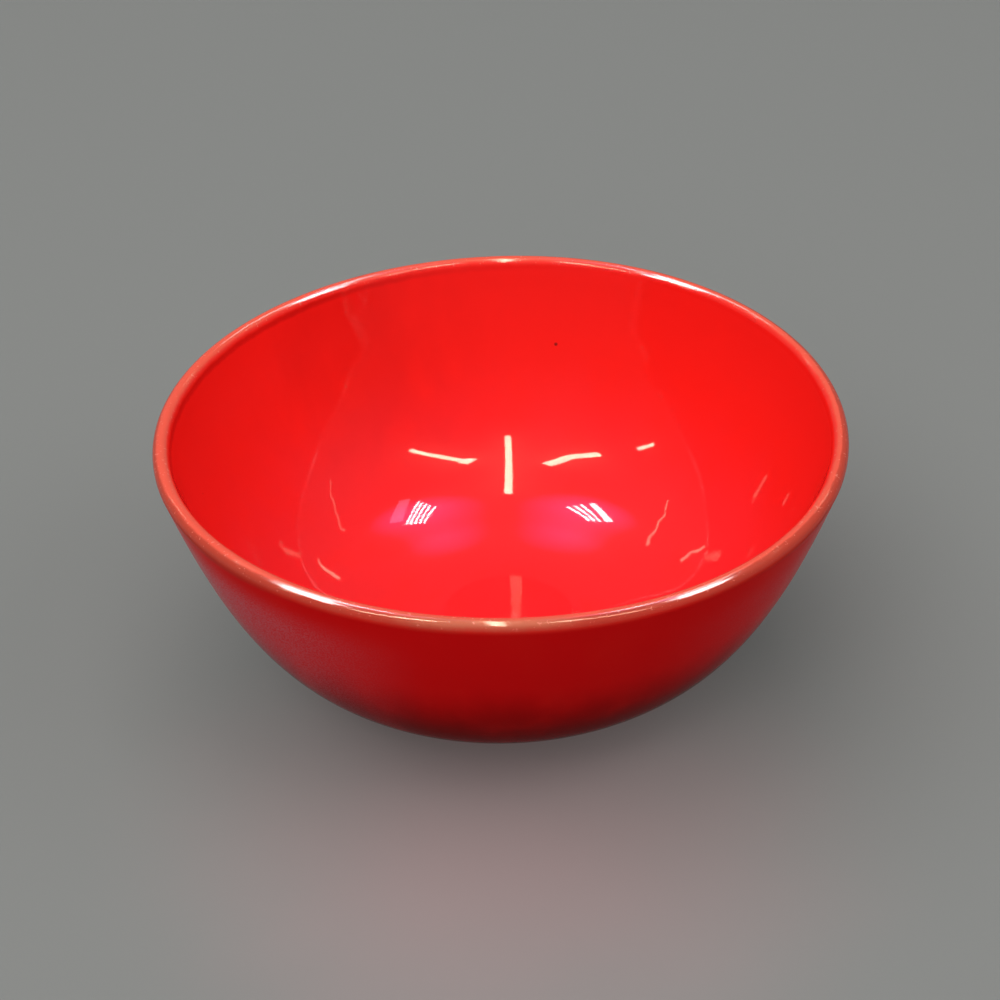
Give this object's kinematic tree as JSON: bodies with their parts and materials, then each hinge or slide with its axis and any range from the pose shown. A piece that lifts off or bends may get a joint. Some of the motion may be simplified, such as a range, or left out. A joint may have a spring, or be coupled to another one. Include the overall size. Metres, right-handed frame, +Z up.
{
  "type": "soup bowl",
  "caption": "Round glazed stoneware soup bowl with a steep curved wall, a rounded lip and a turned foot ring; holds soup or other food.",
  "frame": {"origin": "centre of the foot ring's standing face, on the table", "axes": "+Z up along the bowl's axis of rotation, from the foot to the lip; +X and +Y lie in the table's plane and are alike"},
  "size_m": [0.16, 0.16, 0.065],
  "materials": {
    "buff_clay": "matte",
    "red_glaze_inside": "polished",
    "lip_glaze": "gloss",
    "red_glaze_outside": "polished",
    "red_glaze_well": "polished"
  },
  "bodies": {
    "root": {"clay_body": "buff_clay", "inside_glaze": "red_glaze_inside", "lip_glaze": "lip_glaze", "outside_glaze": "red_glaze_outside", "foot_well_glaze": "red_glaze_well"}
  },
  "joints": []
}
